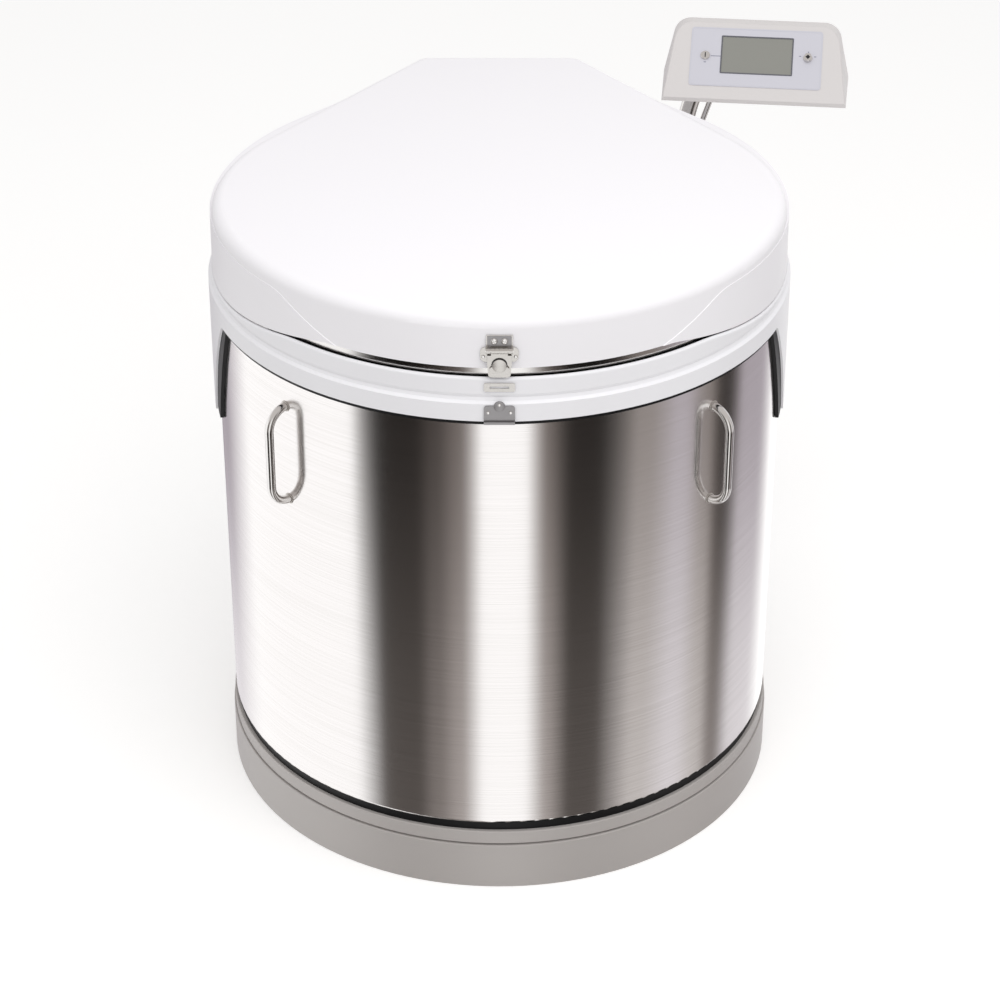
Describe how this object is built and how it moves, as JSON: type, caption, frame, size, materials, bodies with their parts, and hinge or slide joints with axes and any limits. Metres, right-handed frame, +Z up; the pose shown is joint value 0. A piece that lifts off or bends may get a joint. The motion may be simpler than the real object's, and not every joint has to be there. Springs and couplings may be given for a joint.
{
  "type": "liquid nitrogen storage tank",
  "caption": "Wide-mouth vacuum-jacketed steel tank with a moulded collar, hinged insulated lid, front latch, grab handles and a control console on a swinging arm.",
  "frame": {"origin": "centre of the tank's round underside, on the floor", "axes": "+Z up along the tank's axis, -Y towards the front with the latch, +X to the right seen from the front"},
  "size_m": [1.2576, 1.2139, 1.2835],
  "materials": {
    "brushed_stainless": "brushed",
    "painted_base": "satin",
    "polished_steel": "polished",
    "white_moulding": "fine texture",
    "black_rubber": "matte",
    "insulating_foam": "rigid foam",
    "black_plastic": "matte",
    "aluminium_plate": "satin",
    "painted_panel": "satin",
    "brass_fitting": "turned",
    "overlay_film": "satin film",
    "screen_glass": "gloss"
  },
  "bodies": {
    "tank": {"floor_plate": "brushed_stainless", "base_skirt": "painted_base", "base_rim": "painted_base", "isolating_band": "black_rubber", "outer_jacket": "brushed_stainless", "vessel_stand": "black_plastic", "inner_vessel": "brushed_stainless", "liner_stand": "black_plastic", "storage_liner": "brushed_stainless", "neck_flange": "polished_steel", "rack_platform": "aluminium_plate", "probe_tube": "brushed_stainless", "vacuum_port": "brushed_stainless", "grab_handle_left": "brushed_stainless", "grab_handle_right": "brushed_stainless", "top_shroud": "white_moulding", "shroud_trim": "black_rubber", "rear_panel": "painted_panel", "rear_panel_screws": "polished_steel", "hinge_frame": "painted_panel", "fill_valve": "brass_fitting", "fill_pipe": "brass_fitting", "fill_inlet": "brass_fitting", "vent_pipe": "brushed_stainless", "hinge_leaf_fixed_left": "brushed_stainless", "hinge_leaf_fixed_right": "brushed_stainless", "hinge_pin_left": "polished_steel", "hinge_pin_right": "polished_steel", "hinge_screws_body": "polished_steel", "latch_slot_plate": "polished_steel", "latch_keeper": "polished_steel", "latch_keeper_rivets": "polished_steel", "arm_bracket": "brushed_stainless", "arm_bracket_screws": "polished_steel"},
    "lid": {"lid_shell": "white_moulding", "lid_pan": "polished_steel", "lid_foam": "insulating_foam", "lid_gasket": "black_rubber", "lid_rear_liner": "white_moulding", "hinge_leaf_moving_left": "brushed_stainless", "hinge_leaf_moving_right": "brushed_stainless", "hinge_screws_lid": "polished_steel", "latch_bracket": "polished_steel", "latch_screws": "polished_steel", "latch_hasp_pin": "polished_steel"},
    "hasp": {"latch_hasp": "polished_steel"},
    "arm": {"arm_post": "brushed_stainless", "arm_conduit": "polished_steel", "conduit_gland": "black_rubber", "console_housing": "white_moulding", "console_back": "white_moulding", "console_overlay": "overlay_film", "console_screen": "screen_glass", "console_screws": "polished_steel"},
    "key": {"key_switch": "polished_steel"},
    "knob": {"selector_knob": "polished_steel"}
  },
  "joints": [
    {"name": "lid_hinge", "type": "hinge", "parent": "tank", "child": "lid", "pos_m": [0, 0.6185, 1.0795], "axis": [-1, 0, 0], "range_deg": [0, 85]},
    {"name": "hasp_hinge", "type": "hinge", "parent": "lid", "child": "hasp", "pos_m": [0, -0.5442, 1.162], "axis": [-1, 0, 0], "range_deg": [0, 120]},
    {"name": "arm_swivel", "type": "hinge", "parent": "tank", "child": "arm", "pos_m": [0.372, 0.56, 0.904], "axis": [0, 0, 1], "range_deg": [-40, 15]},
    {"name": "key_turn", "type": "hinge", "parent": "arm", "child": "key", "pos_m": [0.41428, 0.56883, 1.23611], "axis": [-0.0668, -0.6147, 0.7859], "range_deg": [0, 90]},
    {"name": "knob_turn", "type": "hinge", "parent": "arm", "child": "knob", "pos_m": [0.61879, 0.54867, 1.23771], "axis": [-0.0668, -0.6147, 0.7859], "range_deg": [-45, 45]}
  ]
}
